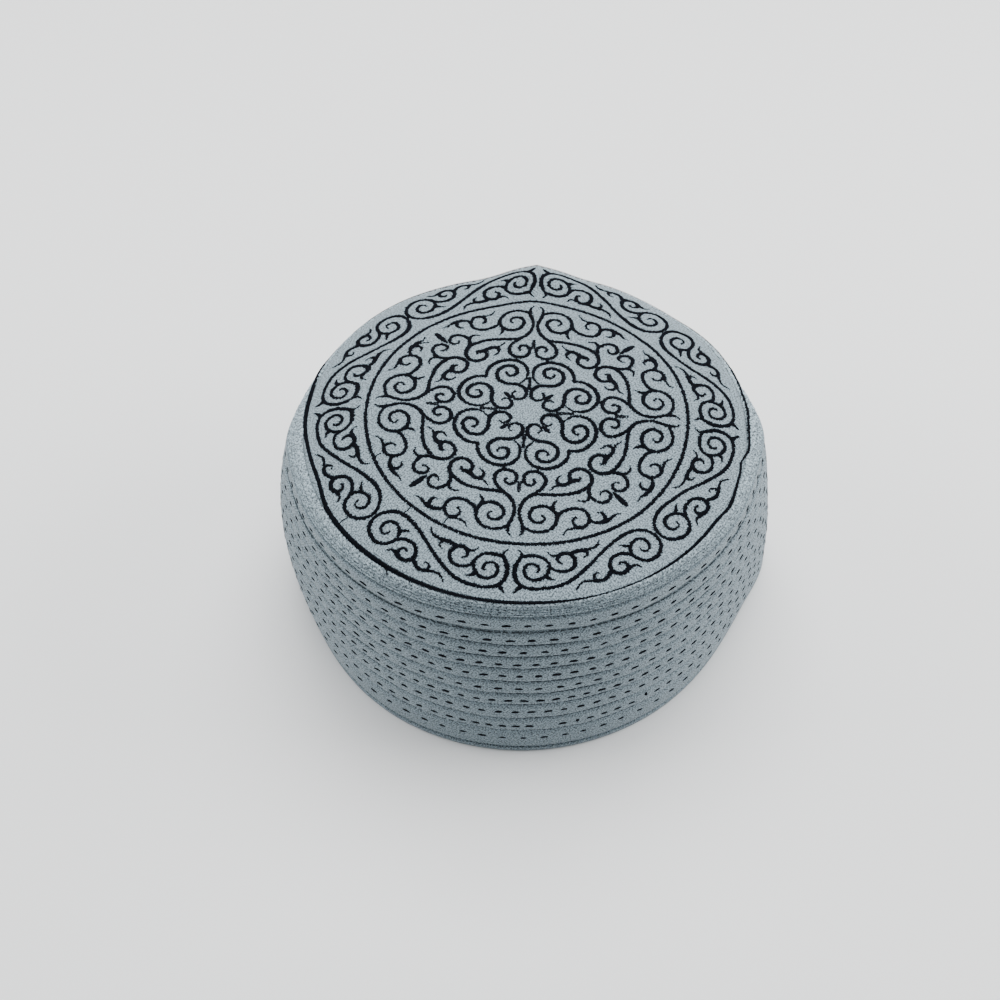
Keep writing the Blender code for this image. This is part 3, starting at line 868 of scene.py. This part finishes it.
def stitch_row(share_of, spacing, shift, length, dice, span=(-270, 90), loose=0.03):
    """Angles of the two ends of each stitch of a row that follows a share around the cap."""
    run, angles = row_run(share_of)
    count = int(run[-1] / spacing)
    middles = (np.arange(count) - count // 2) * spacing + shift
    middles = middles + dice.normal(0, loose * spacing, count)
    where = np.interp(middles % run[-1], run, angles)
    where = np.where(where > 90, where - 360, where)
    kept = (where >= span[0]) & (where <= span[1])
    half = length / 2 * dice.uniform(0.82, 1.12, count)
    ends = [np.interp((middles + sign * half)[kept] % run[-1], run, angles) for sign in (-1, 1)]
    return ends[0], ends[1], where[kept]


def wall_normal(angles, shares):
    """Outward unit normal of the plain outline."""
    out, up = skin_direction(angles, shares)
    return place(angles, up, -out)


def make_running_stitches(dice):
    """Dark running stitches, one row along each tuck, and two small knots."""
    starts, ends, normals, turns = [], [], [], []
    for share, spacing, shift, first, last in STITCH_ROWS:
        low, high, middle = stitch_row(level_row(share), spacing, shift, STITCH_LENGTH,
                                       dice, (first, last))
        tilt = dice.normal(0, 0.0016, len(low))
        for angle, shares, rows in ((low, share + tilt, starts), (high, share - tilt, ends)):
            rows.append(on_skin(angle, shares, wall_stand(angle, shares)))
        normals.append(wall_normal(middle, share + 0 * middle))
        turns.append(middle)
    for angle, share in KNOTS:
        angle, share = np.array([angle]), np.array([share])
        half = math.degrees(KNOT_SIZE / 2 / PANEL_RADIUS)
        starts.append(on_skin(angle - half, share, wall_stand(angle, share)))
        ends.append(on_skin(angle + half, share, wall_stand(angle, share)))
        normals.append(wall_normal(angle, share))
        turns.append(angle)
    full = cyclic_blend(STITCH_FULLNESS, np.concatenate(turns), 1)
    width = STITCH_WIDTH * full * dice.uniform(0.85, 1.15, len(full))
    width[-len(KNOTS):] = 1.6 * KNOT_SIZE
    rise = STITCH_RISE * full
    rise[-len(KNOTS):] = 0.6 * KNOT_SIZE
    return thread_mesh("running_stitches", np.vstack(starts), np.vstack(ends), np.vstack(normals),
                       width, rise, pointed=True)


def seam_row(number):
    """The row of fine stitches just below a groove."""
    def share_of(angles):
        return groove_share(number, angles) - 0.004
    return share_of


def make_seam_stitches(dice):
    """Fine stitches along every groove of the wall, in a dark thread that paints the grooves' shade."""
    length, spacing, width = SEAM_STITCH
    starts, ends, normals = [], [], []
    for number in range(1, len(GROOVE_SHARES) + 2):
        share_of = seam_row(number)
        low, high, middle = stitch_row(share_of, spacing, 0, length, dice, loose=0.1)
        tilt = dice.normal(0, 0.0022, len(low))
        for angle, lean, rows in ((low, tilt, starts), (high, -tilt, ends)):
            rows.append(on_skin(angle, share_of(angle) + lean, -0.55 * TUCK_DEPTH))
        normals.append(wall_normal(middle, share_of(middle)))
    return thread_mesh("seam_stitches", np.vstack(starts), np.vstack(ends), np.vstack(normals),
                       width, 0.0002)


def make_zigzags(dice):
    """Rows of zigzag stitches on the band, in a thread lighter than the cloth that paints light on the
    band.
    """
    starts, ends, normals = [], [], []
    for bottom, top in ZIGZAG_ROWS:
        middle = band_share((bottom + top) / 2)
        run, angles = row_run(level_row(middle))
        count = 2 * int(round(run[-1] / ZIGZAG_STEP / 2))
        turns = np.interp((np.arange(count) + dice.normal(0, 0.2, count)) * run[-1] / count,
                          run, angles)
        t = np.where(np.arange(count) % 2 == 0, bottom, top) + dice.normal(0, 0.014, count)
        t = np.clip(t, 0.05, 0.94)
        points = on_skin(turns, band_share(t), band_stand(t))
        starts.append(points)
        ends.append(np.roll(points, -1, axis=0))
        normals.append(wall_normal(turns, middle + 0 * turns))
    count = sum(len(rows) for rows in starts)
    width = ZIGZAG_WIDTH * dice.uniform(0.7, 1.3, count)
    return thread_mesh("band_zigzags", np.vstack(starts), np.vstack(ends), np.vstack(normals),
                       width, ZIGZAG_RISE)


def principled(name, colour, roughness):
    """New material and its shader."""
    material = bpy.data.materials.new(name)
    material.use_nodes = True
    shader = material.node_tree.nodes["Principled BSDF"]
    shader.inputs["Base Color"].default_value = (*colour, 1)
    shader.inputs["Roughness"].default_value = roughness
    return material, shader


def cloth_material(name, colour, scale=1.0, contrast=1.0):
    """Matte heathered cloth with fine fibres and a diagonal twill."""
    material, shader = principled(name, colour, 0.95)
    shader.inputs["Sheen Weight"].default_value = 0.15
    shader.inputs["Sheen Roughness"].default_value = 0.6
    shader.inputs["Specular IOR Level"].default_value = 0.15
    tree = material.node_tree
    nodes, links = tree.nodes, tree.links
    uv = nodes.new("ShaderNodeUVMap")
    uv.uv_map = "cloth"
    fibres = nodes.new("ShaderNodeTexNoise")
    fibres.inputs["Scale"].default_value = FIBRE_SCALE * scale
    fibres.inputs["Detail"].default_value = 1
    fibres.inputs["Roughness"].default_value = 0.8
    turned = nodes.new("ShaderNodeMapping")
    turned.inputs["Rotation"].default_value = (0, 0, math.radians(40))
    links.new(uv.outputs["UV"], turned.inputs["Vector"])
    links.new(turned.outputs["Vector"], fibres.inputs["Vector"])
    twill = nodes.new("ShaderNodeTexWave")
    twill.bands_direction = "X"
    twill.inputs["Scale"].default_value = TWILL_SCALE
    twill.inputs["Distortion"].default_value = 1.5
    twill.inputs["Detail Scale"].default_value = 2
    links.new(turned.outputs["Vector"], twill.inputs["Vector"])
    mixed = nodes.new("ShaderNodeMix")
    mixed.inputs["Factor"].default_value = 0.05
    links.new(fibres.outputs["Fac"], mixed.inputs["A"])
    links.new(twill.outputs["Fac"], mixed.inputs["B"])
    ramp = nodes.new("ShaderNodeValToRGB")
    ramp.color_ramp.elements[0].position = 0.39
    ramp.color_ramp.elements[1].position = 0.61
    ramp.color_ramp.elements[0].color = (*[c * (1 - FIBRE_CONTRAST * contrast) for c in colour], 1)
    ramp.color_ramp.elements[1].color = (*[c * (1 + FIBRE_CONTRAST * contrast) for c in colour], 1)
    links.new(mixed.outputs["Result"], ramp.inputs["Fac"])
    links.new(ramp.outputs["Color"], shader.inputs["Base Color"])
    bump = nodes.new("ShaderNodeBump")
    bump.inputs["Strength"].default_value = 0.6
    bump.inputs["Distance"].default_value = 0.0003
    links.new(mixed.outputs["Result"], bump.inputs["Height"])
    links.new(bump.outputs["Normal"], shader.inputs["Normal"])
    return material


def thread_material(name, colour, contrast):
    """Matte sewing thread, lighter and darker along its twist by a contrast from 0 to 1."""
    material, shader = principled(name, colour, 0.8)
    shader.inputs["Specular IOR Level"].default_value = 0.08
    tree = material.node_tree
    nodes, links = tree.nodes, tree.links
    where = nodes.new("ShaderNodeTexCoord")
    strands = nodes.new("ShaderNodeTexNoise")
    strands.inputs["Scale"].default_value = STRAND_SCALE
    strands.inputs["Detail"].default_value = 1
    links.new(where.outputs["Object"], strands.inputs["Vector"])
    ramp = nodes.new("ShaderNodeValToRGB")
    ramp.color_ramp.elements[0].position = 0.38
    ramp.color_ramp.elements[1].position = 0.62
    ramp.color_ramp.elements[0].color = (*[c * (1 - contrast) for c in colour], 1)
    ramp.color_ramp.elements[1].color = (*[c * (1 + contrast) for c in colour], 1)
    links.new(strands.outputs["Fac"], ramp.inputs["Fac"])
    links.new(ramp.outputs["Color"], shader.inputs["Base Color"])
    bump = nodes.new("ShaderNodeBump")
    bump.inputs["Strength"].default_value = 0.4
    bump.inputs["Distance"].default_value = 0.0002
    links.new(strands.outputs["Fac"], bump.inputs["Height"])
    links.new(bump.outputs["Normal"], shader.inputs["Normal"])
    return material


def make_camera():
    """Camera at the photograph's angle, in front of the cap and above it."""
    tilt = math.radians(CAMERA_ELEVATION)
    target = Vector(CAMERA_TARGET) + Vector(SHIFT)
    data = bpy.data.cameras.new("camera")
    data.lens = CAMERA_LENS
    data.sensor_width = 36
    camera = bpy.data.objects.new("camera", data)
    camera.location = target + CAMERA_DISTANCE * Vector((0, -math.cos(tilt), math.sin(tilt)))
    camera.rotation_euler = (math.radians(90) - tilt, 0, 0)
    bpy.context.scene.collection.objects.link(camera)
    bpy.context.scene.camera = camera


def area_light(name, place_at, aim, size, power):
    """Soft square lamp aimed at a point."""
    data = bpy.data.lights.new(name, "AREA")
    data.size = size
    data.energy = power
    lamp = bpy.data.objects.new(name, data)
    lamp.location = place_at
    lamp.rotation_euler = (Vector(aim) - Vector(place_at)).to_track_quat("-Z", "Y").to_euler()
    bpy.context.scene.collection.objects.link(lamp)


def make_studio():
    """Pale floor, pale surroundings and soft lamps from above and the sides."""
    bpy.ops.mesh.primitive_plane_add(size=8, location=(0, 0, -0.0002))
    floor = bpy.context.object
    floor.name = "floor"
    floor.data.materials.append(principled("floor_white", (0.92, 0.93, 0.93), 0.9)[0])
    world = bpy.data.worlds.new("studio")
    world.use_nodes = True
    world.node_tree.nodes["Background"].inputs["Color"].default_value = (0.95, 0.97, 1.0, 1)
    world.node_tree.nodes["Background"].inputs["Strength"].default_value = 0.36
    bpy.context.scene.world = world
    area_light("top_lamp", (0.05, 0.35, 1.1), (0, 0, 0.05), 0.9, 20.5)
    area_light("left_lamp", (-1.0, 0.15, 0.5), (0, 0, 0.05), 0.7, 8.2)
    area_light("right_lamp", (1.0, 0.15, 0.5), (0, 0, 0.05), 0.7, 11.5)


def dress(piece, material):
    """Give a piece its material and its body."""
    piece.data.materials.append(material)
    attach(piece, "root")


def main():
    """Dress the cap, and set up its camera and studio."""
    dice = np.random.default_rng(11)
    crown_cloth = cloth_material("grey_blue_crown", CLOTH_COLOUR)
    wall_cloth = cloth_material("grey_blue_wall", CLOTH_COLOUR)
    # Painted light: the band's cloth is lighter than the crown's and wall's, for the light on the
    # shoulder
    band_cloth = cloth_material("grey_blue_band_painted_light", BAND_COLOUR_PAINTED_LIGHT, 0.75, 1.25)
    thread = thread_material("dark_thread", (0.0016, 0.0024, 0.0050), 0.6)
    # Painted light: the zigzag thread is the cloth's tone made lighter, for the light on the band
    tonal_thread_painted_light = thread_material("grey_blue_thread_painted_light", (0.305, 0.380, 0.422), 0.5)
    # Painted shade: the seam thread is far darker than the cloth, laid in the grooves as their shade
    groove_shade_thread = thread_material("groove_shade_thread", (0.036, 0.048, 0.056), 0.5)
    crown, band, wall, hem = make_crown(), make_band(), make_wall(), make_hem()
    dress(crown, crown_cloth)
    dress(band, band_cloth)
    dress(wall, wall_cloth)
    dress(hem, wall_cloth)
    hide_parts("crown_panel")
    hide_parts("crown_edge_band")
    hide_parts("side_wall")
    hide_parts("bottom_hem")
    embroidery = make_embroidery(dice)
    for piece in embroidery:
        dress(piece, thread)
    running = make_running_stitches(dice)
    seams = make_seam_stitches(dice)
    zigzags = make_zigzags(dice)
    dress(running, thread)
    # The seam stitches carry painted shade for the grooves in their dark thread
    dress(seams, groove_shade_thread)
    # The zigzags carry painted light in their lighter thread
    dress(zigzags, tonal_thread_painted_light)
    make_camera()
    make_studio()


main()
